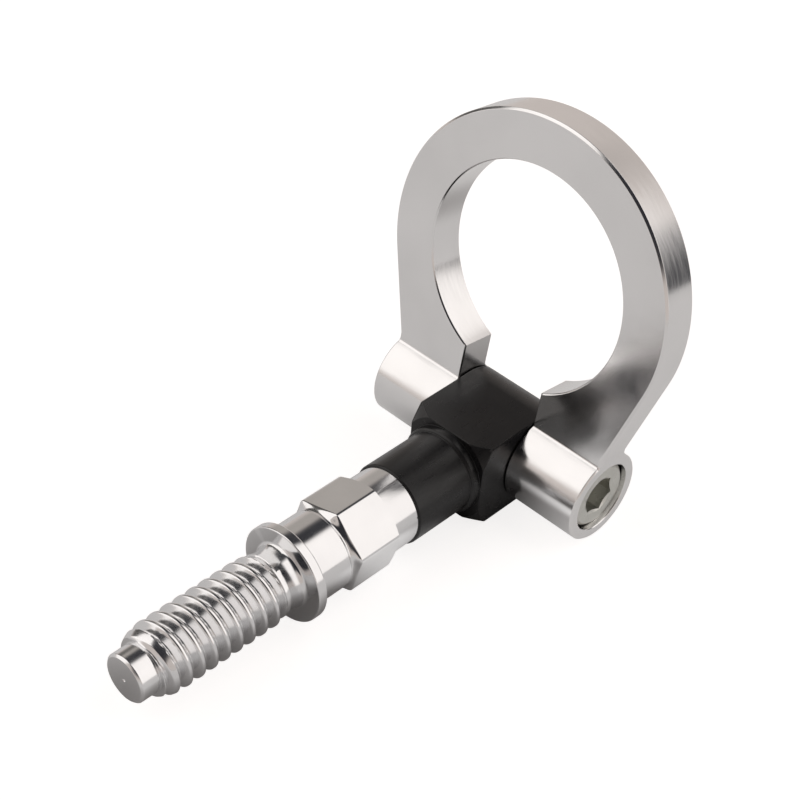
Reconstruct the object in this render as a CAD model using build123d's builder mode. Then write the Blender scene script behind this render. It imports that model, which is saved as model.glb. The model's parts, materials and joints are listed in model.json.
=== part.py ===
import math
import os
from build123d import *

# Folding screw-in tow eye, millimetres, +Z up.
# The stud lies along Y and its tip points to -Y. The origin is the centre of the flange's seat face.
# The pivot axis is parallel to X, and the ring stands up from it, leaning back a little.

# Tow ring
ring_bore_d = 52.0
ring_od = 74.4
plate_t = 9.2
pivot_to_ring = 42.2
ear_d = 21.7
ear_span = 60.0
ring_lean_deg = 7.4
ring_edge_chamfer = 0.5
ear_end_chamfer = 0.35
flank_end_height = 11.6
ear_front_fillet = 0.8
ear_back_fillet = 2.0

# Pivot block
bar_side = 21.7
corner_turn_d = 24.6
corner_turn_deg = 45.0
bar_front_reach = 18.7
boss_d = 20.9
boss_length = 2.0
boss_edge_chamfer = 0.4
neck_d = 19.4
neck_rim_chamfer = 0.4
bar_edge_chamfer = 0.3

# Threaded stud, lengths counted from the flange's seat
seat_to_pivot = 68.2
tip_reach = 41.8
pilot_d = 11.1
pilot_length = 4.7
pilot_chamfer = 0.5
thread_d = 16.0
thread_pitch = 3.31
thread_depth = 1.6
thread_crest_w = 0.65
thread_run_up = 3.35
thread_lead_in = 2.7
relief_d = 14.7
relief_length = 4.7
flange_d = 22.4
flange_t = 2.3
flange_edge_chamfer = 0.3
shoulder_d = 18.5
shoulder_length = 9.55
hex_af = 19.2
hex_length = 12.75
hex_turn_deg = 16.5
hex_chamfer_deg = 30.0
collar_d = 18.4
collar_length = 6.8
spigot_d = 12.0
spigot_length = 14.0

# Pivot bolt
bolt_d = 10.0
bolt_head_d = 16.0
bolt_head_h = 10.0
bolt_head_chamfer = 0.8
socket_af = 8.0
socket_depth = 5.0
socket_turn_deg = 42.0
bolt_end_chamfer = 1.0
bolt_head_sink = 0.8
far_ear_grip = 13.0

# Clearances
side_gap = 0.2
pivot_clearance = 0.05
bolt_hole_clearance = 0.1
head_clearance = 0.3
spigot_clearance = 0.03
bore_end_gap = 0.6

# Worked out from the sizes above
ring_r = ring_od / 2
ring_bore_r = ring_bore_d / 2
ear_r = ear_d / 2
half_span = ear_span / 2
half_bar = bar_side / 2
half_slot = half_bar + side_gap
pivot = Vector(0, seat_to_pivot, 0)
thread_r = thread_d / 2
thread_root_r = thread_r - thread_depth
hex_front = flange_t + shoulder_length
hex_back = hex_front + hex_length
neck_rim = hex_back + collar_length
hex_corner_r = hex_af / math.sqrt(3)
head_seat = half_span - bolt_head_sink - bolt_head_h
bolt_end = -(half_slot + far_ear_grip)

# Planes: the ring's own plane at the pivot, the pivot axis and the stud axis
lean = math.radians(ring_lean_deg)
ring_plane = Plane(origin=pivot, x_dir=(1, 0, 0), z_dir=(0, -math.cos(lean), math.sin(lean)))
pivot_plane = Plane(origin=pivot, x_dir=(0, 1, 0), z_dir=(1, 0, 0))
stud_plane = Plane(origin=(0, 0, 0), x_dir=(1, 0, 0), z_dir=(0, 1, 0))
ear_plane = Plane(origin=pivot, x_dir=(1, 0, 0), z_dir=(0, -1, 0))


def across_pivot(x):
    """Plane square to the pivot axis, x along that axis from the middle."""
    return pivot_plane.offset(x)


def along_stud(y):
    """Plane square to the stud axis, y along that axis from the flange's seat."""
    return stud_plane.offset(y)


# Tow ring: eye plate with straight flanks, two ears, the slot for the block
flank_x = half_span
flank_run = math.hypot(flank_x, flank_end_height - pivot_to_ring)
flank_turn = math.atan2(flank_end_height - pivot_to_ring, flank_x) + math.acos(ring_r / flank_run)
tangent_x = ring_r * math.cos(flank_turn)
tangent_u = pivot_to_ring + ring_r * math.sin(flank_turn)
junction_height = math.sqrt(ear_r**2 - (plate_t / 2) ** 2)

with BuildPart() as tow_ring:
    with BuildSketch(ring_plane.offset(-plate_t / 2)) as plate_outline:
        with BuildLine() as plate_edge:
            crown = ThreePointArc((tangent_x, tangent_u), (0, pivot_to_ring + ring_r), (-tangent_x, tangent_u))
            left_flank = Line(crown @ 1, (-flank_x, flank_end_height))
            Polyline(left_flank @ 1, (-flank_x, 0), (flank_x, 0), (flank_x, flank_end_height))
            Line((flank_x, flank_end_height), crown @ 0)
        make_face()
        with Locations((0, pivot_to_ring)):
            Circle(ring_bore_r, mode=Mode.SUBTRACT)
        with Locations((0, pivot_to_ring / 2)):
            Rectangle(2 * half_slot, pivot_to_ring, mode=Mode.SUBTRACT)
    extrude(amount=plate_t)
    plate_faces = tow_ring.faces().sort_by(Axis(pivot, ring_plane.z_dir))
    broken_edges = plate_faces[0].edges() + plate_faces[-1].edges()
    hidden_in_ears = broken_edges.filter_by(
        lambda e: ring_plane.to_local_coords(e.center()).Y < flank_end_height * 0.6
    )
    chamfer([e for e in broken_edges if e not in hidden_in_ears], ring_edge_chamfer)
    with BuildSketch(ear_plane) as ear_half_view:
        Polygon(
            (half_slot, 0),
            (half_span, 0),
            (half_span, ear_r - ear_end_chamfer),
            (half_span - ear_end_chamfer, ear_r),
            (half_slot, ear_r),
            align=None,
        )
        mirror(about=Plane.YZ)
    revolve(axis=Axis(pivot, (1, 0, 0)))
    junctions = tow_ring.edges().filter_by(Axis.X).filter_by(
        lambda e: abs(ring_plane.to_local_coords(e.center()).Y - junction_height) < 0.01
    )
    front_junctions = junctions.filter_by(lambda e: ring_plane.to_local_coords(e.center()).Z > 0)
    fillet(front_junctions, ear_front_fillet)
    junctions = tow_ring.edges().filter_by(Axis.X).filter_by(
        lambda e: abs(ring_plane.to_local_coords(e.center()).Y - junction_height) < 0.01
    )
    back_junctions = junctions.filter_by(lambda e: ring_plane.to_local_coords(e.center()).Z < 0)
    fillet(back_junctions, ear_back_fillet)
    with BuildSketch(across_pivot(half_span)) as head_recess:
        Circle(bolt_head_d / 2 + head_clearance)
    extrude(amount=-(bolt_head_sink + bolt_head_h), mode=Mode.SUBTRACT)
    with BuildSketch(across_pivot(half_span)) as bolt_way:
        Circle(bolt_d / 2 + bolt_hole_clearance)
    extrude(amount=-(half_span - half_slot), mode=Mode.SUBTRACT)
    with BuildSketch(across_pivot(-half_slot)) as tapped_way:
        Circle(bolt_d / 2 + pivot_clearance)
    extrude(amount=-(far_ear_grip + bore_end_gap), mode=Mode.SUBTRACT)
tow_ring.part.label = "tow_ring"

# Pivot block: square bar with a round rear, its front corners turned off, then a boss and a neck
neck_r = neck_d / 2
boss_r = boss_d / 2
bar_front = seat_to_pivot - bar_front_reach
boss_front = bar_front - boss_length
corner_turn_r = corner_turn_d / 2
clear_r = half_bar * math.sqrt(2) + bar_side
cone_rise = (clear_r - corner_turn_r) * math.tan(math.radians(corner_turn_deg))
block_rear = seat_to_pivot + half_bar

with BuildPart() as pivot_block:
    with BuildSketch(across_pivot(-half_bar)) as bar_side_view:
        with Locations(((neck_rim - seat_to_pivot) / 2, 0)):
            Rectangle(seat_to_pivot - neck_rim, bar_side)
        Circle(half_bar)
    extrude(amount=bar_side)
    chamfer(pivot_block.edges().filter_by(Axis.Y), bar_edge_chamfer)
    with BuildSketch(Plane.XY) as turned_view:
        Polygon(
            (0, neck_rim),
            (neck_r - neck_rim_chamfer, neck_rim),
            (neck_r, neck_rim + neck_rim_chamfer),
            (neck_r, boss_front),
            (boss_r - boss_edge_chamfer, boss_front),
            (boss_r, boss_front + boss_edge_chamfer),
            (boss_r, bar_front),
            (corner_turn_r, bar_front),
            (clear_r, bar_front + cone_rise),
            (clear_r, block_rear + cone_rise),
            (0, block_rear + cone_rise),
            align=None,
        )
    revolve(axis=Axis.Y, mode=Mode.INTERSECT)
    with BuildSketch(across_pivot(-half_bar)) as pivot_bore:
        Circle(bolt_d / 2 + pivot_clearance)
    extrude(amount=bar_side, mode=Mode.SUBTRACT)
    with BuildSketch(along_stud(neck_rim)) as spigot_bore:
        Circle(spigot_d / 2 + spigot_clearance)
    extrude(amount=spigot_length + bore_end_gap, mode=Mode.SUBTRACT)
pivot_block.part.label = "pivot_block"

# Threaded stud: one turned profile, a hexagon with turned chamfers, a helical groove for the thread
pilot_r = pilot_d / 2
thread_front = -tip_reach + pilot_length
thread_back = -relief_length
relief_r = relief_d / 2
groove_half = (thread_pitch - thread_crest_w) / 2
groove_slope = groove_half / thread_depth
groove_over = 0.2
groove_start = thread_front - thread_run_up
groove_run = thread_back - thread_front + 2 * thread_run_up
lead_slope = thread_depth / thread_lead_in


def helical_groove():
    """Solid between three right-hand helices, one for each corner of the thread groove."""
    mouth_r = thread_r + groove_over
    mouth_half = groove_half + groove_over * groove_slope
    corners = [(mouth_r, -mouth_half), (thread_root_r, 0), (mouth_r, mouth_half)]
    rails = [
        Edge.make_helix(thread_pitch, groove_run, r, center=(0, groove_start + y, 0), normal=(0, 1, 0))
        for r, y in corners
    ]
    walls = [Face.make_surface_from_curves(a, b) for a, b in zip(rails, rails[1:] + rails[:1])]
    ends = [Face(Wire.make_polygon([rail @ at for rail in rails], close=True)) for at in (0, 1)]
    return Solid(Shell(walls + ends))

flange_r = flange_d / 2
shoulder_r = shoulder_d / 2
collar_r = collar_d / 2
spigot_r = spigot_d / 2
spigot_end = neck_rim + spigot_length
hex_flat_r = hex_af / 2
hex_chamfer_slope = math.tan(math.radians(hex_chamfer_deg))
hex_front_rise = (hex_corner_r - shoulder_r) * hex_chamfer_slope
hex_back_rise = (hex_corner_r - hex_flat_r) * hex_chamfer_slope

with BuildPart() as threaded_stud:
    with BuildSketch(along_stud(hex_front)) as hex_outline:
        RegularPolygon(hex_corner_r, 6, rotation=-hex_turn_deg)
    extrude(amount=hex_length)
    with BuildSketch(Plane.XY) as hex_turning:
        Polygon(
            (0, hex_front),
            (shoulder_r, hex_front),
            (hex_corner_r, hex_front + hex_front_rise),
            (hex_corner_r, hex_back - hex_back_rise),
            (hex_flat_r, hex_back),
            (0, hex_back),
            align=None,
        )
    revolve(axis=Axis.Y, mode=Mode.INTERSECT)
    with BuildSketch(along_stud(thread_front)) as thread_blank:
        Circle(thread_r)
    extrude(amount=thread_back - thread_front)
    add(helical_groove(), clean=False, mode=Mode.SUBTRACT)
    with BuildSketch(Plane.XY) as thread_ends:
        Polygon(
            (thread_root_r - lead_slope, thread_front - 1),
            (thread_r + 1, thread_front - 1),
            (thread_r + 1, thread_front + thread_lead_in + 1 / lead_slope),
            align=None,
        )
        Polygon(
            (relief_r - 1, thread_back + 1),
            (thread_r + 1, thread_back + 1),
            (thread_r + 1, thread_back - (thread_r + 1 - relief_r)),
            align=None,
        )
    revolve(axis=Axis.Y, clean=False, mode=Mode.SUBTRACT)
    with BuildSketch(Plane.XY) as stud_profile:
        Polygon(
            (0, -tip_reach),
            (pilot_r - pilot_chamfer, -tip_reach),
            (pilot_r, -tip_reach + pilot_chamfer),
            (pilot_r, thread_back),
            (relief_r, thread_back),
            (relief_r, 0),
            (flange_r - flange_edge_chamfer, 0),
            (flange_r, flange_edge_chamfer),
            (flange_r, flange_t - flange_edge_chamfer),
            (flange_r - flange_edge_chamfer, flange_t),
            (shoulder_r, flange_t),
            (shoulder_r, hex_back),
            (collar_r, hex_back),
            (collar_r, neck_rim),
            (spigot_r, neck_rim),
            (spigot_r, spigot_end),
            (0, spigot_end),
            align=None,
        )
    revolve(axis=Axis.Y)
threaded_stud.part.label = "threaded_stud"

# Pivot bolt: socket head in the near ear, shank through the block into the far ear
with BuildPart() as pivot_bolt:
    with BuildSketch(across_pivot(head_seat)) as head_outline:
        Circle(bolt_head_d / 2)
    extrude(amount=bolt_head_h)
    head_rim = pivot_bolt.faces().sort_by(Axis.X)[-1].edges()
    chamfer(head_rim, bolt_head_chamfer)
    with BuildSketch(across_pivot(bolt_end)) as shank_outline:
        Circle(bolt_d / 2)
    extrude(amount=head_seat - bolt_end)
    shank_rim = pivot_bolt.faces().sort_by(Axis.X)[0].edges()
    chamfer(shank_rim, bolt_end_chamfer)
    with BuildSketch(across_pivot(head_seat + bolt_head_h)) as socket_outline:
        RegularPolygon(socket_af / math.sqrt(3), 6, rotation=socket_turn_deg)
    extrude(amount=-socket_depth, mode=Mode.SUBTRACT)
pivot_bolt.part.label = "pivot_bolt"

os.makedirs("parts", exist_ok=True)
export_step(tow_ring.part, "parts/tow_ring.step")
export_step(pivot_block.part, "parts/pivot_block.step")
export_step(threaded_stud.part, "parts/threaded_stud.step")
export_step(pivot_bolt.part, "parts/pivot_bolt.step")
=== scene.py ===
"""Folding tow eye: polished ring, black pivot block, chromed threaded stud and steel pivot bolt."""

import json
import math

import bmesh
import bpy
from mathutils import Matrix, Vector


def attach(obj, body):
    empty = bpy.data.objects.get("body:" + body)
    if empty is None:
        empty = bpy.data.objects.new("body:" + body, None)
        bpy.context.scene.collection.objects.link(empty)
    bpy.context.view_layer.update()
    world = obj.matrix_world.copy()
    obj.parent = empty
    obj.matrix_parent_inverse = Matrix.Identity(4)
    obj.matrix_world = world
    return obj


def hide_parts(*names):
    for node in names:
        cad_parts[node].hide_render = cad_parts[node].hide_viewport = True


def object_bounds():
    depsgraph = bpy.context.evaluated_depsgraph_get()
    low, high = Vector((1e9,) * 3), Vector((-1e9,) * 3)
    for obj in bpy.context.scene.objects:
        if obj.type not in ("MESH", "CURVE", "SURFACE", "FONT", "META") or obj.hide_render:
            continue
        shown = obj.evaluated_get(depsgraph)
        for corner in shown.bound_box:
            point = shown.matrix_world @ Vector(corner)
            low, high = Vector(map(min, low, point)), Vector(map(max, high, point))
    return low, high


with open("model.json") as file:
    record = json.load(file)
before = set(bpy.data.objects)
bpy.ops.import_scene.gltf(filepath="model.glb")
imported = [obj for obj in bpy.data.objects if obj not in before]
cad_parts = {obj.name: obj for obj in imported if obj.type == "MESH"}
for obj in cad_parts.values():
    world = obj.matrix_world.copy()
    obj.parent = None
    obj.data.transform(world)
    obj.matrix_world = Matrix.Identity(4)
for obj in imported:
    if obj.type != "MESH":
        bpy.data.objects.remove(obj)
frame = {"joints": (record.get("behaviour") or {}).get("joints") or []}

cad_low, cad_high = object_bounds()

# Sizes are in millimetres, and a finished mesh is scaled to metres.
MM = 0.001
pivot_y = frame["joints"][0]["pos_m"][1] / MM

# Meshes
merge_distance = 0.0005
sharp_angle = math.radians(40.0)
hub_r = 0.5
seam = 0.05
row_gap = 0.1
edge_ease = 0.3

# Tow ring
ring_bore_r = 26.0
ring_r = 37.17
plate_t = 9.2
pivot_to_ring = 42.2
ear_r = 10.85
half_span = 30.0
half_slot = 11.05
ring_lean = math.radians(7.4)
outer_edge = 0.5
bore_edge = 0.3
ear_end_edge = 0.35
ear_slot_edge = 0.12
flank_end_height = 11.6
ear_top = 11.3
front_fillet = 0.8
back_fillet = 2.0
recess_r = 8.3
recess_floor_x = 19.2
bolt_way_r = 5.1
tapped_way_r = 5.05
tapped_end_x = -24.65
hole_edge = 0.15
hole_ease = 0.1
bore_points = 145
rim_points = 121
fillet_points = 9
ear_points = 97
hole_points = 96

# Pivot block
half_bar = 10.85
bar_edge = 0.3
bar_front = 49.5
corner_turn_r = 12.3
front_edge = 0.2
boss_r = 10.45
boss_front = 47.5
boss_edge = 0.4
boss_ease = 0.12
boss_fillet = 0.1
boss_border = 0.15
neck_r = 9.7
neck_rim = 31.4
neck_edge = 0.4
neck_fillet = 0.3
spigot_way_r = 6.03
spigot_way_end = 46.0
way_floor_fillet = 0.2
way_mouth_edge = 0.15
pivot_way_r = 5.05
bar_side_points = 49
bar_rear_rows = 33
turned_corner_rows = 6
front_edge_rows = 4
pivot_way_points = 64

# Threaded stud, y counted from the flange's seat
tip = -41.8
centre_mark_r = 0.5
centre_mark_depth = 0.5
tip_ease = 0.15
pilot_r = 5.55
pilot_edge = 0.5
pilot_ease = 0.25
pilot_fillet = 0.12
thread_front = -37.1
thread_back = -4.7
thread_r = 8.0
thread_root_r = 6.1
thread_pitch = 3.31
thread_phase = -40.45
thread_crest_w = 0.65
thread_root_w = 0.25
thread_ease = 0.14
thread_step = 0.125
thread_end_ease = 0.1
lead_in_end = -32.3
lead_in_curve = 0.06
run_out_start = -5.2
run_out_slope = 0.33
relief_slope = 1.5
relief_r = 7.35
relief_dip = 0.5
relief_curve_r = 6.0
relief_fillet = 0.8
flange_r = 11.185
flange_t = 2.3
flange_edge = 0.3
shoulder_r = 9.25
shoulder_fillet = 0.25
undercut_start = 10.9
undercut = 0.15
undercut_rows = 9
hex_rise_start = 11.45
hex_rise_end = 12.95
hex_rise_first = 0.06
hex_rise_rows = 17
hex_back = 24.6
hex_back_rows = 5
hex_flat_r = 9.6
hex_turn = 16.5
hex_corner_round = 1.5
hex_slope = math.tan(math.radians(30.0))
hex_even_columns = 25
collar_r = 9.2
collar_step = 0.02
collar_fillet = 0.15
collar_edge = 0.1
spigot_r = 6.0
spigot_end = 45.4
spigot_edge = 0.2

# Columns of a mesh round a hexagon, in degrees from one of its corners
near_corner = [0.0, 0.35, 0.7, 1.05, 1.5, 2.0, 2.5, 3.0, 3.5, 4.1]
even_from = 5.5

# Pivot bolt
head_r = 8.0
head_top_x = 29.2
head_seat_x = 19.2
head_edge = 0.8
head_ease = 0.5
head_seat_edge = 0.2
head_fillet = 0.3
bolt_r = 5.0
bolt_end_x = -24.05
bolt_end_edge = 1.0
bolt_end_ease = 0.2
socket_flat_r = 4.0
socket_turn = 42.0
socket_depth = 5.0
socket_drill_depth = 0.8
socket_corner_round = 0.15
socket_mouth = 0.2
socket_mouth_slope = 0.6
socket_mouth_rows = 5
socket_even_columns = 14

# Range of a noise that a ramp uses
noise_low = 0.3
noise_high = 0.7

# Floor, in metres
floor_half = 0.45
floor_drop = 0.0002
floor_seen_strength = 0.84

# Camera in metres and radians, solved from the photo
camera_place = (0.1891711, -0.18760619, 0.27246193)
camera_azimuth = math.radians(40.6946)
camera_elevation = math.radians(39.9846)
camera_roll = math.radians(5.0356)
camera_lens = 82.61
camera_sensor = 36.0
camera_near = 0.01


class Shape:
    """Vertices and faces of one piece, gathered in millimetres."""

    def __init__(self):
        self.bm = bmesh.new()

    def row(self, points):
        """New vertices at some points."""
        return [self.bm.verts.new(p) for p in points]

    def face(self, corners):
        self.bm.faces.new(corners)

    def strip(self, first, second, closed=True):
        """Band of faces between two rows of equal length."""
        count = len(first)
        for i in range(count if closed else count - 1):
            j = (i + 1) % count
            self.face((first[i], first[j], second[j], second[i]))

    def strips(self, rows, closed=True):
        """Bands of faces from each row to the next."""
        for first, second in zip(rows, rows[1:]):
            self.strip(first, second, closed)

    def fan(self, row, centre):
        """Cap of triangles from a closed row to one point."""
        hub = self.bm.verts.new(centre)
        for i, vertex in enumerate(row):
            self.face((vertex, row[(i + 1) % len(row)], hub))

    def holed_face(self, outer, hole):
        """Flat face round a hole, as two faces that meet on two cuts."""
        half = len(hole) // 2
        cuts = []
        for start in (hole[0], hole[half]):
            cuts.append(min(range(len(outer)), key=lambda i: (outer[i].co - start.co).length))
        there = stretch(outer, cuts[0], cuts[1])
        back = stretch(outer, cuts[1], cuts[0])
        first_half = stretch(hole, 0, half)
        second_half = stretch(hole, half, 0)
        middle = there[len(there) // 2].co
        to_first = (middle - first_half[len(first_half) // 2].co).length
        to_second = (middle - second_half[len(second_half) // 2].co).length
        if to_first < to_second:
            self.face(there + first_half[::-1])
            self.face(back + second_half[::-1])
        else:
            self.face(there + second_half)
            self.face(back + first_half)

    def piece(self, name, body, material):
        """Finished object that stands in for one solid of the frame."""
        bmesh.ops.remove_doubles(self.bm, verts=self.bm.verts, dist=merge_distance)
        bmesh.ops.dissolve_degenerate(self.bm, edges=self.bm.edges, dist=merge_distance)
        bmesh.ops.recalc_face_normals(self.bm, faces=self.bm.faces)
        bmesh.ops.scale(self.bm, vec=(MM, MM, MM), verts=self.bm.verts)
        mesh = bpy.data.meshes.new(name)
        self.bm.to_mesh(mesh)
        self.bm.free()
        mesh.shade_smooth()
        mesh.set_sharp_from_angle(angle=sharp_angle)
        mesh.materials.append(material)
        made = bpy.data.objects.new(name + "_dressed", mesh)
        bpy.context.scene.collection.objects.link(made)
        weighted = made.modifiers.new("weighted_normals", "WEIGHTED_NORMAL")
        weighted.keep_sharp = True
        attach(made, body)
        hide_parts(name)


def stretch(loop, first, last):
    """Part of a closed loop from one index on to another."""
    if first < last:
        return loop[first:last + 1]
    return loop[first:] + loop[:last + 1]


def spread(first, last, count):
    """Evenly spaced numbers with both ends."""
    return [first + (last - first) * i / (count - 1) for i in range(count)]


def rounded(points, radii, steps=4):
    """Open profile whose inner corners are rounded, one radius for each inner corner."""
    made = [Vector(points[0])]
    for before, corner, after, radius in zip(points, points[1:], points[2:], radii):
        corner = Vector(corner)
        if radius == 0:
            made.append(corner)
            continue
        back = (Vector(before) - corner).normalized()
        on = (Vector(after) - corner).normalized()
        half = back.angle(on) / 2
        reach = radius / math.tan(half)
        centre = corner + (back + on).normalized() * (radius / math.sin(half))
        start = corner + back * reach - centre
        end = corner + on * reach - centre
        turn = start.angle_signed(end)
        for share in spread(0.0, 1.0, steps + 1):
            angle = -turn * share
            c, s = math.cos(angle), math.sin(angle)
            made.append(centre + Vector((c * start.x - s * start.y, s * start.x + c * start.y)))
    made.append(Vector(points[-1]))
    return made


def broken_edge():
    """Chamfer of leg 1 with eased borders, as (in from the side, down from the face) from side to face."""
    return rounded([(0, 2), (0, 1), (1, 0), (2, 0)], [edge_ease, edge_ease], steps=2)[1:-1]


def about_stud(radius, y, angle):
    """Point at an angle round the stud's axis."""
    return (radius * math.cos(angle), y, radius * math.sin(angle))


def about_pivot(radius, x, angle):
    """Point at an angle round the pivot's axis."""
    return (x, pivot_y + radius * math.cos(angle), radius * math.sin(angle))


def hexagon_columns(turn_deg, even_columns):
    """Angles round an axis, close together at the six corners of a hexagon."""
    even = spread(even_from, 60.0 - even_from, even_columns)
    offsets = near_corner + even + [60.0 - offset for offset in near_corner[:0:-1]]
    return [math.radians(turn_deg + 60.0 * k + offset) for k in range(6) for offset in offsets]


def hexagon_radius(angle, turn_deg, flat_r, corner_round):
    """Radius of a hexagon with rounded corners in one direction."""
    half_side = math.radians(30.0)
    off_corner = math.radians(abs((math.degrees(angle) - turn_deg + 30.0) % 60.0 - 30.0))
    tangent = half_side - math.atan((flat_r - corner_round) * math.tan(half_side) / flat_r)
    if off_corner >= tangent:
        return flat_r / math.cos(half_side - off_corner)
    reach = (flat_r - corner_round) / math.cos(half_side)
    return reach * math.cos(off_corner) + math.sqrt(corner_round**2 - (reach * math.sin(off_corner)) ** 2)


def smooth_step(share):
    """Smooth rise from 0 to 1."""
    return share * share * (3 - 2 * share)


def soft_ramp(share, ease):
    """Ramp from 0 to 1 whose two corners are eased."""
    if share <= -ease:
        return 0.0
    if share < ease:
        return (share + ease) ** 2 / (4 * ease)
    if share <= 1 - ease:
        return share
    if share < 1 + ease:
        return 1 - (1 + ease - share) ** 2 / (4 * ease)
    return 1.0


def soft_min(a, b, ease):
    """Smaller of two numbers, eased where they meet."""
    if abs(a - b) >= ease:
        return min(a, b)
    return min(a, b) - (ease - abs(a - b)) ** 2 / (4 * ease)


def thread_radius(y, angle):
    """Radius of the right-hand thread at one place on the stud."""
    turns = (y - thread_phase) / thread_pitch - (math.pi / 2 - angle) / (2 * math.pi)
    off_groove = abs(turns - round(turns)) * thread_pitch
    flank_w = (thread_pitch - thread_crest_w - thread_root_w) / 2
    share = (off_groove - thread_root_w / 2) / flank_w
    radius = thread_root_r + (thread_r - thread_root_r) * soft_ramp(share, thread_ease)
    lead = thread_r - lead_in_curve * max(lead_in_end - y, 0.0) ** 2
    tail = relief_r + run_out_slope * (run_out_start - y)
    radius = soft_min(radius, lead, thread_end_ease)
    radius = soft_min(radius, max(tail, relief_r), thread_end_ease)
    return max(radius, relief_r - relief_slope * (thread_back - y) - seam)


def build_stud(material):
    """Stud as rows of points, from its tip through thread, flange and hexagon to the spigot."""
    shape = Shape()
    columns = hexagon_columns(hex_turn, hex_even_columns)

    def turned(profile):
        return [shape.row([about_stud(r, y, a) for a in columns]) for y, r in profile]

    pilot = rounded(
        [(tip, centre_mark_r), (tip, pilot_r - pilot_edge), (tip + pilot_edge, pilot_r),
         (thread_front, pilot_r), (thread_front, thread_root_r - seam)],
        [tip_ease, pilot_ease, pilot_fillet],
    )
    rows = turned(pilot)
    shape.fan(rows[0], (0, tip + centre_mark_depth, 0))
    thread_rows = int((thread_back - thread_front) / thread_step)
    for y in spread(thread_front, thread_back, thread_rows):
        rows.append(shape.row([about_stud(thread_radius(y, a), y, a) for a in columns]))
    flange = rounded(
        [(thread_back + seam, relief_r), (thread_back / 2, relief_r - relief_dip), (0, relief_r),
         (0, flange_r), (flange_t, flange_r), (flange_t, shoulder_r),
         (undercut_start - row_gap, shoulder_r)],
        [relief_curve_r, relief_fillet, flange_edge, flange_edge, shoulder_fillet],
    )
    rows += turned(flange)
    undercut_run = hex_rise_start - undercut_start
    rows += turned(
        (undercut_start + share * undercut_run, shoulder_r - undercut * smooth_step(share))
        for share in spread(0.0, 1.0, undercut_rows)
    )
    outline = [hexagon_radius(a, hex_turn, hex_flat_r, hex_corner_round) for a in columns]

    def hexagonal(y_and_share):
        """Rows that run from the round shoulder to the hexagon's outline."""
        low_r = shoulder_r - undercut
        made = []
        for y, share in y_and_share:
            points = [about_stud(low_r + share * (r - low_r), y, a) for r, a in zip(outline, columns)]
            made.append(shape.row(points))
        return made

    rise_run = hex_rise_end - hex_rise_start
    rows += hexagonal(
        (hex_rise_start + share * rise_run, smooth_step(share))
        for share in spread(hex_rise_first, 1.0, hex_rise_rows)
    )
    rows += hexagonal([(hex_rise_end + row_gap, 1.0)])
    for share in spread(1.0, 0.0, hex_back_rows):
        points = []
        for outline_r, a in zip(outline, columns):
            r = hex_flat_r + share * (outline_r - hex_flat_r)
            points.append(about_stud(r, hex_back - (r - hex_flat_r) * hex_slope, a))
        rows.append(shape.row(points))
    collar = rounded(
        [(hex_back, hex_flat_r - collar_step), (hex_back, collar_r), (neck_rim, collar_r),
         (neck_rim, spigot_r), (spigot_end, spigot_r), (spigot_end, hub_r)],
        [collar_fillet, collar_edge, spigot_edge, spigot_edge],
    )
    rows += turned(collar)
    shape.fan(rows[-1], (0, spigot_end, 0))
    shape.strips(rows)
    shape.piece("threaded_stud", "stud", material)


def build_bolt(material):
    """Socket head bolt as rows of points, from its end over the head into the key socket."""
    shape = Shape()
    columns = hexagon_columns(socket_turn, socket_even_columns)
    outline = [hexagon_radius(a, socket_turn, socket_flat_r, socket_corner_round) for a in columns]
    mouth_r = socket_flat_r / math.cos(math.radians(30.0)) + socket_mouth
    profile = rounded(
        [(bolt_end_x, bolt_r - bolt_end_edge), (bolt_end_x + bolt_end_edge, bolt_r), (head_seat_x, bolt_r),
         (head_seat_x, head_r), (head_top_x - head_edge, head_r), (head_top_x, head_r - head_edge),
         (head_top_x, mouth_r)],
        [bolt_end_ease, head_fillet, head_seat_edge, head_ease, head_ease],
    )
    rows = [shape.row([about_pivot(r, x, a) for a in columns]) for x, r in profile]
    shape.fan(rows[0], (bolt_end_x, pivot_y, 0))
    for share in spread(0.0, 1.0, socket_mouth_rows)[1:]:
        points = []
        for outline_r, a in zip(outline, columns):
            r = mouth_r + share * (outline_r - mouth_r)
            points.append(about_pivot(r, head_top_x - (mouth_r - r) * socket_mouth_slope, a))
        rows.append(shape.row(points))
    floor_x = head_top_x - socket_depth
    rows.append(shape.row([about_pivot(r, floor_x, a) for r, a in zip(outline, columns)]))
    shape.fan(rows[-1], (floor_x - socket_drill_depth, pivot_y, 0))
    shape.strips(rows)
    shape.piece("pivot_bolt", "ring", material)


def bar_loop(half):
    """Four sides of the block's bar with rounded corners, as (x, z) points round the stud axis."""
    inner = half - bar_edge
    corner = half - bar_edge * (1 - math.sqrt(0.5))
    waves = [math.sin(math.pi / 2 * t) for t in spread(1.0, -1.0, bar_side_points)]
    top = [(inner * w, half) for w in waves] + [(-corner, corner)]
    left = [(-half, inner * w) for w in waves] + [(-corner, -corner)]
    bottom = [(-inner * w, -half) for w in waves] + [(corner, -corner)]
    right = [(half, -inner * w) for w in waves] + [(corner, corner)]
    return top, left, bottom, right


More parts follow.
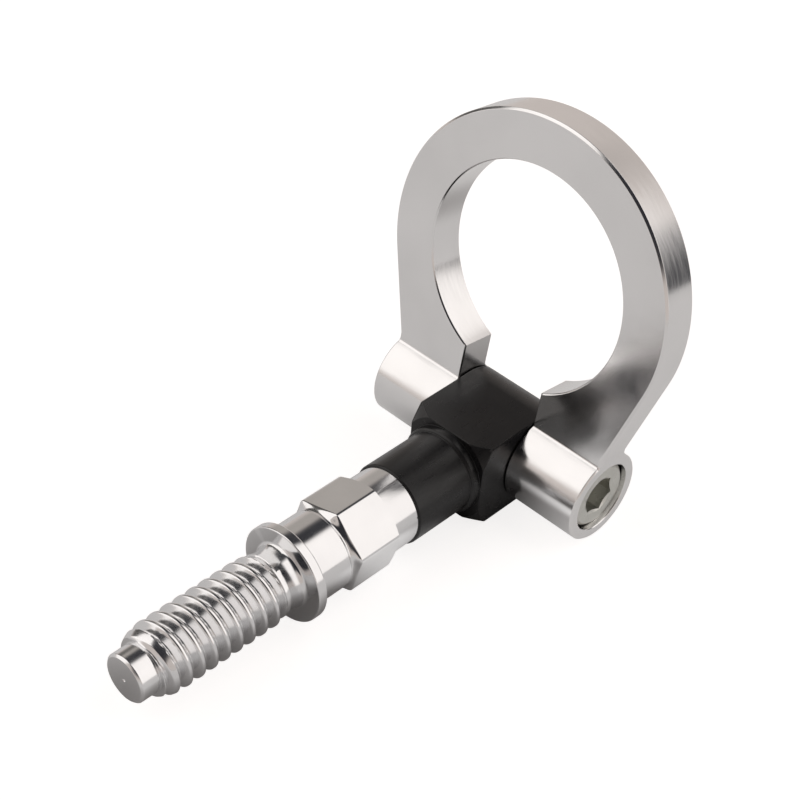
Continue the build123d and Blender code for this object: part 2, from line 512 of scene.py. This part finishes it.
def block_front(shape):
    """Neck, boss and turned corners of the block, up to the loop of its bar, which is returned."""
    loop = [point for side in bar_loop(half_bar) for point in side]
    near_loop = [point for side in bar_loop(half_bar - front_edge) for point in side]
    columns = [math.atan2(z, x) for x, z in near_loop]
    profile = rounded(
        [(spigot_way_end, hub_r), (spigot_way_end, spigot_way_r), (neck_rim, spigot_way_r),
         (neck_rim, neck_r), (boss_front, neck_r), (boss_front, boss_r - boss_edge),
         (boss_front + boss_edge, boss_r), (bar_front, boss_r), (bar_front, boss_r + boss_border)],
        [way_floor_fillet, way_mouth_edge, neck_edge, neck_fillet, boss_ease, boss_ease, boss_fillet],
    )
    rows = [shape.row([about_stud(r, y, a) for a in columns]) for y, r in profile]
    shape.fan(rows[0], (0, spigot_way_end, 0))
    reaches = [math.hypot(x, z) for x, z in near_loop]
    flats = [min(reach, corner_turn_r) for reach in reaches]
    for share in spread(0.0, 1.0, turned_corner_rows):
        points = []
        for flat, reach, a in zip(flats, reaches, columns):
            r = flat + share * (reach - flat)
            points.append(about_stud(r, bar_front + r - flat, a))
        rows.append(shape.row(points))
    for angle in spread(0.0, math.pi / 2, front_edge_rows)[1:]:
        out = math.sin(angle)
        back = front_edge * (1 - math.cos(angle))
        points = []
        for (x, z), (near_x, near_z), flat, reach in zip(loop, near_loop, flats, reaches):
            y = bar_front + reach - flat + back
            points.append((near_x + out * (x - near_x), y, near_z + out * (z - near_z)))
        rows.append(shape.row(points))
    shape.strips(rows)
    return rows[-1]


def build_block(material):
    """Block with its front, a rear rounded about the pivot, and the bolt's way through it."""
    shape = Shape()
    front = block_front(shape)
    side_length = len(front) // 4
    top, left, bottom, right = (front[k * side_length:(k + 1) * side_length] for k in range(4))
    across = right[-2:] + top + left[:1]
    below = (left[-2:] + bottom + right[:1])[::-1]
    grid = []
    for turn in spread(math.pi / 2, -math.pi / 2, bar_rear_rows):
        points = []
        for vertex in across:
            reach = vertex.co.z
            points.append((vertex.co.x, pivot_y + reach * math.cos(turn), reach * math.sin(turn)))
        grid.append(shape.row(points))
    shape.strip(across, grid[0], closed=False)
    shape.strips(grid, closed=False)
    shape.strip(grid[-1], below, closed=False)
    circle = spread(0.0, math.tau, pivot_way_points + 1)[:-1]
    ways = []
    for edge, rear_column in ((right[:-1][::-1], 0), (left[:-1], -1)):
        rear = [row[rear_column] for row in grid]
        way = shape.row([about_pivot(pivot_way_r, edge[0].co.x, a) for a in circle])
        shape.holed_face(edge + rear[::-1], way)
        ways.append(way)
    shape.strips(ways)
    shape.piece("pivot_block", "stud", material)


def offset_chain(chain, distance):
    """Open chain of (x, u) points moved sideways, to the left of its run."""
    made = []
    for i, point in enumerate(chain):
        here = Vector(point)
        normals = []
        if i > 0:
            normals.append((here - Vector(chain[i - 1])).orthogonal().normalized())
        if i < len(chain) - 1:
            normals.append((Vector(chain[i + 1]) - here).orthogonal().normalized())
        middle = sum(normals, Vector((0, 0))).normalized()
        made.append(here + middle * (distance / middle.dot(normals[0])))
    return made


def arc(centre_u, radius, first_deg, last_deg, count):
    """Points (x, u) on a circle about the ring's own middle line."""
    return [
        (radius * math.cos(math.radians(a)), centre_u + radius * math.sin(math.radians(a)))
        for a in spread(first_deg, last_deg, count)
    ]


def keyhole(drop, plate_edge, ear_edge):
    """Section of an ear under the plate, as (v, u, edge) from the front, round below, to the back.

    It lies in by drop times an edge break that changes from the plate's to the ear's own.
    """
    halves = []
    for fillet, side in ((front_fillet, 1), (back_fillet, -1)):
        middle_v = plate_t / 2 + fillet
        middle_u = math.sqrt((ear_r + fillet) ** 2 - middle_v**2)
        last = math.atan2(-middle_u, -middle_v) + math.tau
        half = [(side * (plate_t / 2 - drop * plate_edge), ear_top, plate_edge)]
        angles = spread(math.pi, last, fillet_points)
        edges = spread(plate_edge, ear_edge, fillet_points)
        for angle, edge in zip(angles, edges):
            reach = fillet + drop * edge
            v = middle_v + reach * math.cos(angle)
            half.append((side * v, middle_u + reach * math.sin(angle), edge))
        halves.append(half)
    front, back = halves
    start = math.atan2(front[-1][1], front[-1][0])
    end = math.atan2(back[-1][1], back[-1][0])
    round_r = ear_r - drop * ear_edge
    around = [
        (round_r * math.cos(a), round_r * math.sin(a), ear_edge)
        for a in spread(start, end - math.tau, ear_points)[1:-1]
    ]
    return front + around + back[::-1]


def on_ring(x, u, v):
    """Place of a point of the ring: x along the pivot, u up the plate, v out of its front."""
    c, s = math.cos(ring_lean), math.sin(ring_lean)
    return (x, pivot_y + u * s - v * c, u * c + v * s)


def ring_plate(shape, section):
    """Eye, flanks and both faces of the ring's plate."""
    half_t = plate_t / 2
    flank_u = flank_end_height - pivot_to_ring
    run = math.hypot(half_span, flank_u)
    turn = math.degrees(math.atan2(flank_u, half_span) + math.acos(ring_r / run))
    slot_deg = math.degrees(math.acos(half_slot / ring_bore_r))
    inner = [(half_slot, ear_top)]
    inner += arc(pivot_to_ring, ring_bore_r, -slot_deg, 180 + slot_deg, bore_points)
    inner += [(-half_slot, ear_top)]
    outer = [(-half_span, ear_top), (-half_span, flank_end_height)]
    outer += arc(pivot_to_ring, ring_r, 180 - turn, turn, rim_points)
    outer += [(half_span, flank_end_height), (half_span, ear_top)]
    back_face = []
    front_face = []
    for chain, edge in ((inner, bore_edge), (outer, outer_edge)):
        levels = [(edge * a, edge * b - half_t) for a, b in section[::-1]]
        levels += [(edge * a, half_t - edge * b) for a, b in section]
        rows = []
        for inset, v in levels:
            rows.append(shape.row([on_ring(x, u, v) for x, u in offset_chain(chain, -inset)]))
        shape.strips(rows, closed=False)
        back_face += rows[0]
        front_face += rows[-1]
    shape.face(front_face)
    shape.face(back_face[::-1])


def ring_ear(shape, section, side):
    """One ear below the plate: with the bolt's recess on side 1, tapped on side -1."""
    rows = []
    for a, b in section:
        points = keyhole(b, bore_edge, ear_slot_edge)
        rows.append(shape.row([on_ring(side * (half_slot + a * edge), u, v) for v, u, edge in points]))
    for a, b in section[::-1]:
        points = keyhole(b, outer_edge, ear_end_edge)
        rows.append(shape.row([on_ring(side * (half_span - a * edge), u, v) for v, u, edge in points]))
    shape.strips(rows, closed=False)
    if side == 1:
        profile = rounded(
            [(half_span, recess_r + hole_edge), (half_span - hole_edge, recess_r),
             (recess_floor_x, recess_r), (recess_floor_x, bolt_way_r), (half_slot, bolt_way_r)],
            [hole_ease, 0, 0],
        )
    else:
        profile = [(tapped_end_x, tapped_way_r), (-half_slot, tapped_way_r)]
    circle = spread(0.0, math.tau, hole_points + 1)[:-1]
    holes = [shape.row([about_pivot(r, x, a) for a in circle]) for x, r in profile]
    shape.strips(holes)
    shape.holed_face(rows[0], holes[-1])
    if side == 1:
        shape.holed_face(rows[-1], holes[0])
    else:
        shape.face(rows[-1])
        shape.fan(holes[0], (tapped_end_x, pivot_y, 0))


def build_ring(material):
    """Ring with its plate and two ears in one mesh."""
    shape = Shape()
    section = broken_edge()
    ring_plate(shape, section)
    ring_ear(shape, section, 1)
    ring_ear(shape, section, -1)
    shape.piece("tow_ring", "ring", material)


def new_material(name):
    """Material with its node tree and its main shader."""
    material = bpy.data.materials.new(name)
    material.use_nodes = True
    return material, material.node_tree, material.node_tree.nodes["Principled BSDF"]


def add_node(tree, kind, **values):
    """New shader node with some of its inputs or settings set by name."""
    node = tree.nodes.new(kind)
    for key, value in values.items():
        if key in node.inputs:
            node.inputs[key].default_value = value
        else:
            setattr(node, key, value)
    return node


def maths(tree, operation, *values):
    """Result of one operation on sockets or plain numbers."""
    node = add_node(tree, "ShaderNodeMath", operation=operation)
    for socket, value in zip(node.inputs, values):
        if isinstance(value, float):
            socket.default_value = value
        else:
            tree.links.new(value, socket)
    return node.outputs["Value"]


def ramped(tree, value, start, end, low=0.0, high=1.0, kind="LINEAR"):
    """Number that runs from low to high as a value runs from start to end."""
    node = add_node(tree, "ShaderNodeMapRange", interpolation_type=kind)
    node.inputs["From Min"].default_value = start
    node.inputs["From Max"].default_value = end
    node.inputs["To Min"].default_value = low
    node.inputs["To Max"].default_value = high
    tree.links.new(value, node.inputs["Value"])
    return node.outputs["Result"]


def grain(tree, scale, stretch_by=(1, 1, 1), detail=4.0, lean=0.0):
    """Noise in the piece's own space, stretched along one or more axes that may lean about X."""
    place = add_node(tree, "ShaderNodeTexCoord")
    mapping = add_node(tree, "ShaderNodeMapping", vector_type="TEXTURE", Scale=stretch_by)
    mapping.inputs["Rotation"].default_value = (-lean, 0, 0)
    noise = add_node(tree, "ShaderNodeTexNoise", Scale=scale, Detail=detail)
    tree.links.new(place.outputs["Object"], mapping.inputs["Vector"])
    tree.links.new(mapping.outputs["Vector"], noise.inputs["Vector"])
    return noise.outputs[0]


def between(tree, noise, low, high):
    """Number that runs from low to high as a noise runs over its middle range."""
    return ramped(tree, noise, noise_low, noise_high, low, high)


def shade(tree, noise, dark, light):
    """Colour that runs from dark to light with a noise."""
    ramp = add_node(tree, "ShaderNodeValToRGB")
    ramp.color_ramp.elements[0].position = noise_low
    ramp.color_ramp.elements[0].color = (*dark, 1)
    ramp.color_ramp.elements[1].position = noise_high
    ramp.color_ramp.elements[1].color = (*light, 1)
    tree.links.new(noise, ramp.inputs["Fac"])
    return ramp.outputs["Color"]


def finish_surface(tree, shader, colour, roughness, relief, strength, height):
    """Colour, roughness and fine relief of a surface, the relief's height in metres."""
    bump = add_node(tree, "ShaderNodeBump", Strength=strength, Distance=height)
    tree.links.new(relief, bump.inputs["Height"])
    tree.links.new(colour, shader.inputs["Base Color"])
    tree.links.new(roughness, shader.inputs["Roughness"])
    tree.links.new(bump.outputs["Normal"], shader.inputs["Normal"])


def aluminium():
    """Polished aluminium with a fine brushed grain across the plate."""
    material, tree, shader = new_material("ring_aluminium")
    shader.inputs["Metallic"].default_value = 1.0
    cloud = grain(tree, scale=60.0)
    fine = grain(tree, scale=1500.0, stretch_by=(9, 1, 9), detail=6.0, lean=ring_lean)
    colour = shade(tree, cloud, dark=(0.79, 0.785, 0.785), light=(0.84, 0.835, 0.835))
    roughness = between(tree, fine, low=0.13, high=0.2)
    finish_surface(tree, shader, colour, roughness, fine, strength=0.2, height=0.00002)
    return material


def chrome():
    """Bright plating, a little duller on the rolled thread than on the turned faces."""
    material, tree, shader = new_material("stud_chrome")
    shader.inputs["Metallic"].default_value = 1.0
    cloud = grain(tree, scale=90.0)
    fine = grain(tree, scale=700.0, stretch_by=(1, 3, 1))
    colour = shade(tree, cloud, dark=(0.75, 0.75, 0.755), light=(0.81, 0.81, 0.815))
    polish = between(tree, fine, low=0.10, high=0.16)
    place = add_node(tree, "ShaderNodeTexCoord")
    axes = add_node(tree, "ShaderNodeSeparateXYZ")
    tree.links.new(place.outputs["Object"], axes.inputs["Vector"])
    rolled = ramped(tree, axes.outputs["Y"], run_out_start * MM, thread_back * MM, low=0.05, high=0.0)
    roughness = maths(tree, "ADD", polish, rolled)
    finish_surface(tree, shader, colour, roughness, fine, strength=0.04, height=0.00002)
    return material


def black_block():
    """Black anodising with faint marks of turning."""
    material, tree, shader = new_material("block_black")
    shader.inputs["Specular IOR Level"].default_value = 0.4
    cloud = grain(tree, scale=120.0)
    fine = grain(tree, scale=1200.0, stretch_by=(1, 5, 1))
    colour = shade(tree, cloud, dark=(0.005, 0.005, 0.006), light=(0.010, 0.0095, 0.0095))
    roughness = between(tree, fine, low=0.26, high=0.36)
    finish_surface(tree, shader, colour, roughness, fine, strength=0.1, height=0.00003)
    return material


def steel():
    """Plain steel of the bolt, duller and warmer than the stud's plating."""
    material, tree, shader = new_material("bolt_steel")
    shader.inputs["Metallic"].default_value = 1.0
    cloud = grain(tree, scale=200.0)
    fine = grain(tree, scale=1500.0)
    colour = shade(tree, cloud, dark=(0.60, 0.60, 0.56), light=(0.68, 0.68, 0.64))
    roughness = between(tree, fine, low=0.26, high=0.4)
    finish_surface(tree, shader, colour, roughness, fine, strength=0.12, height=0.00003)
    return material


def direction(longitude, latitude):
    """Unit vector from two angles in degrees, longitude from +X toward +Y."""
    lon, lat = math.radians(longitude), math.radians(latitude)
    return Vector((math.cos(lat) * math.cos(lon), math.cos(lat) * math.sin(lon), math.sin(lat)))


class Sky:
    """Shares of the world's directions, built as shader nodes."""

    def __init__(self, tree):
        self.tree = tree
        self.place = add_node(tree, "ShaderNodeTexCoord")

    def along(self, axis):
        """How far a direction points along an axis."""
        dot = add_node(self.tree, "ShaderNodeVectorMath", operation="DOT_PRODUCT")
        dot.inputs[1].default_value = axis
        self.tree.links.new(self.place.outputs["Generated"], dot.inputs[0])
        return dot.outputs["Value"]

    def step(self, value, outside, inside):
        """Smooth rise from 0 outside to 1 inside."""
        return ramped(self.tree, value, outside, inside, kind="SMOOTHSTEP")

    def side(self, axis, outside, inside):
        """Share on one side of a plane, with a soft border."""
        return self.step(self.along(axis), outside, inside)

    def overlap(self, share, *others):
        """Share that lies inside all of some shares."""
        for other in others:
            share = maths(self.tree, "MULTIPLY", share, other)
        return share

    def panel(self, longitude, latitude, half_width, half_height, soft):
        """Share of a flat rectangular panel."""
        facing = direction(longitude, latitude)
        sideways = direction(longitude + 90.0, 0.0)
        depth = self.along(facing)
        shares = [self.step(depth, outside=0.02, inside=0.1)]
        for axis, half in ((sideways, half_width), (facing.cross(sideways), half_height)):
            off_middle = maths(self.tree, "DIVIDE", self.along(axis), depth)
            off_middle = maths(self.tree, "ABSOLUTE", off_middle)
            shares.append(self.step(off_middle, half + soft, half - soft))
        return self.overlap(*shares)

    def spot(self, longitude, latitude, inner_deg, outer_deg):
        """Share of a round patch."""
        outside = math.cos(math.radians(outer_deg))
        inside = math.cos(math.radians(inner_deg))
        return self.side(direction(longitude, latitude), outside, inside)

    def paint(self, share, under, over):
        """Colour or socket with another colour laid over a share of it."""
        mix = add_node(self.tree, "ShaderNodeMix", data_type="RGBA")
        self.tree.links.new(share, mix.inputs["Factor"])
        colour_sockets = [socket for socket in mix.inputs if socket.type == "RGBA"]
        for socket, value in zip(colour_sockets, (under, over)):
            if isinstance(value, tuple):
                socket.default_value = (*value, 1)
            else:
                self.tree.links.new(value, socket)
        return next(socket for socket in mix.outputs if socket.type == "RGBA")


def studio():
    """World of soft light: a warm grey room, a window, a softbox and some dark patches."""
    world = bpy.data.worlds.new("studio")
    bpy.context.scene.world = world
    world.use_nodes = True
    tree = world.node_tree
    sky = Sky(tree)
    upward = (0, 0, 1)
    window_sill = (0.578, -0.539, 0.614)
    window_near_frame = direction(longitude=0.0, latitude=0.0)
    window_far_frame = direction(longitude=102.0, latitude=0.0)
    softbox_cut = (0.2375, -0.952, 0.195)
    wall = (0.62, 0.56, 0.525)
    ceiling = (0.045, 0.045, 0.05)
    far_wall_grey = (0.43, 0.40, 0.37)
    far_shade_grey = (0.10, 0.095, 0.09)
    camera_shade_grey = (0.03, 0.03, 0.035)
    low_shade_grey = (0.06, 0.06, 0.065)
    window_light = (1.20, 1.145, 1.11)
    softbox_light = (1.22, 1.17, 1.135)
    white = (1.0, 1.0, 1.0)

    window = sky.overlap(
        sky.side(window_sill, outside=-0.01, inside=0.07),
        sky.side(window_near_frame, outside=-0.12, inside=0.12),
        sky.side(window_far_frame, outside=-0.06, inside=0.06),
    )
    softbox = sky.overlap(
        sky.panel(longitude=-150.0, latitude=36.5, half_width=0.62, half_height=0.72, soft=0.05),
        sky.side(softbox_cut, outside=0.0, inside=0.05),
    )
    far_wall = sky.spot(longitude=155.0, latitude=28.0, inner_deg=6.0, outer_deg=26.0)
    far_shade = sky.spot(longitude=173.0, latitude=20.0, inner_deg=16.0, outer_deg=24.0)
    camera_shade = sky.spot(longitude=-53.0, latitude=42.0, inner_deg=24.0, outer_deg=36.0)
    low_shade = sky.spot(longitude=54.0, latitude=2.0, inner_deg=9.0, outer_deg=20.0)

    room = sky.paint(sky.side(upward, outside=0.47, inside=0.82), wall, ceiling)
    room = sky.paint(far_wall, room, far_wall_grey)
    room = sky.paint(sky.side(upward, outside=0.60, inside=0.82), room, ceiling)
    room = sky.paint(far_shade, room, far_shade_grey)
    room = sky.paint(camera_shade, room, camera_shade_grey)
    room = sky.paint(low_shade, room, low_shade_grey)
    room = sky.paint(window, room, window_light)
    room = sky.paint(softbox, room, softbox_light)
    rays = add_node(tree, "ShaderNodeLightPath")
    room = sky.paint(rays.outputs["Is Camera Ray"], room, white)
    tree.links.new(room, tree.nodes["Background"].inputs["Color"])


def white_floor():
    """Pale floor under the part, white to the camera where no shadow lies, with painted light for
    reflections: a painted shadow near the part and a painted pool of light beside the hexagon.
    """
    height = cad_low.z - floor_drop
    corners = [(-1, -1), (1, -1), (1, 1), (-1, 1)]
    mesh = bpy.data.meshes.new("floor")
    mesh.from_pydata([(floor_half * x, floor_half * y, height) for x, y in corners], [], [(0, 1, 2, 3)])
    floor = bpy.data.objects.new("floor", mesh)
    bpy.context.scene.collection.objects.link(floor)
    material, tree, shader = new_material("floor_white")
    mesh.materials.append(material)
    shader.inputs["Base Color"].default_value = (0.45, 0.445, 0.445, 1)
    shader.inputs["Roughness"].default_value = 0.9
    shader.inputs["Specular IOR Level"].default_value = 0.0
    shader.inputs["Emission Color"].default_value = (1, 0.985, 0.975, 1)
    place = add_node(tree, "ShaderNodeTexCoord")

    def painted_glow(x, y, stretch_y, dark_at, bright_at, strength):
        """Painted light, seen in reflections, that changes with the distance from a place on the floor."""
        off = add_node(tree, "ShaderNodeMapping", vector_type="TEXTURE", Location=(x, y, height))
        off.inputs["Scale"].default_value = (1, stretch_y, 1)
        reach = add_node(tree, "ShaderNodeVectorMath", operation="LENGTH")
        tree.links.new(place.outputs["Object"], off.inputs["Vector"])
        tree.links.new(off.outputs["Vector"], reach.inputs[0])
        return ramped(tree, reach.outputs["Value"], dark_at, bright_at, high=strength, kind="SMOOTHSTEP")

    # Painted shadow in reflections: no glossy light on the floor close to the part, as if it lay in the
    # part's shadow, rising to painted light farther out.
    around = painted_glow(x=0.0, y=0.020, stretch_y=5, dark_at=0.008, bright_at=0.036, strength=0.37)
    # Painted pool of light on the floor beside the hexagon, seen only in reflections.
    painted_light_beside_hexagon = painted_glow(x=0.015, y=0.030, stretch_y=1, dark_at=0.020, bright_at=0.004, strength=0.55)
    rays = add_node(tree, "ShaderNodeLightPath")
    mirrored = maths(tree, "ADD", rays.outputs["Is Glossy Ray"], rays.outputs["Is Transmission Ray"])
    shown = maths(tree, "MULTIPLY", mirrored, maths(tree, "ADD", around, painted_light_beside_hexagon))
    seen = maths(tree, "MULTIPLY_ADD", rays.outputs["Is Camera Ray"], floor_seen_strength, shown)
    tree.links.new(seen, shader.inputs["Emission Strength"])


def photo_camera():
    """Camera at the photograph's place: above the stud's right side, rolled a little."""
    flat = math.cos(camera_elevation)
    sine, cosine = math.sin(camera_azimuth), math.cos(camera_azimuth)
    back = Vector((sine * flat, -cosine * flat, math.sin(camera_elevation)))
    level = Vector((cosine, sine, 0))
    above = back.cross(level)
    right = math.cos(camera_roll) * level + math.sin(camera_roll) * above
    up = math.cos(camera_roll) * above - math.sin(camera_roll) * level
    data = bpy.data.cameras.new("photo_camera")
    data.sensor_width = camera_sensor
    data.lens = camera_lens
    data.clip_start = camera_near
    camera = bpy.data.objects.new("photo_camera", data)
    turn = Matrix((right, up, back)).transposed().to_4x4()
    camera.matrix_world = Matrix.Translation(camera_place) @ turn
    bpy.context.scene.collection.objects.link(camera)
    bpy.context.scene.camera = camera


build_ring(aluminium())
build_block(black_block())
build_stud(chrome())
build_bolt(steel())
white_floor()
studio()
photo_camera()

bpy.context.scene.view_settings.view_transform = "Standard"
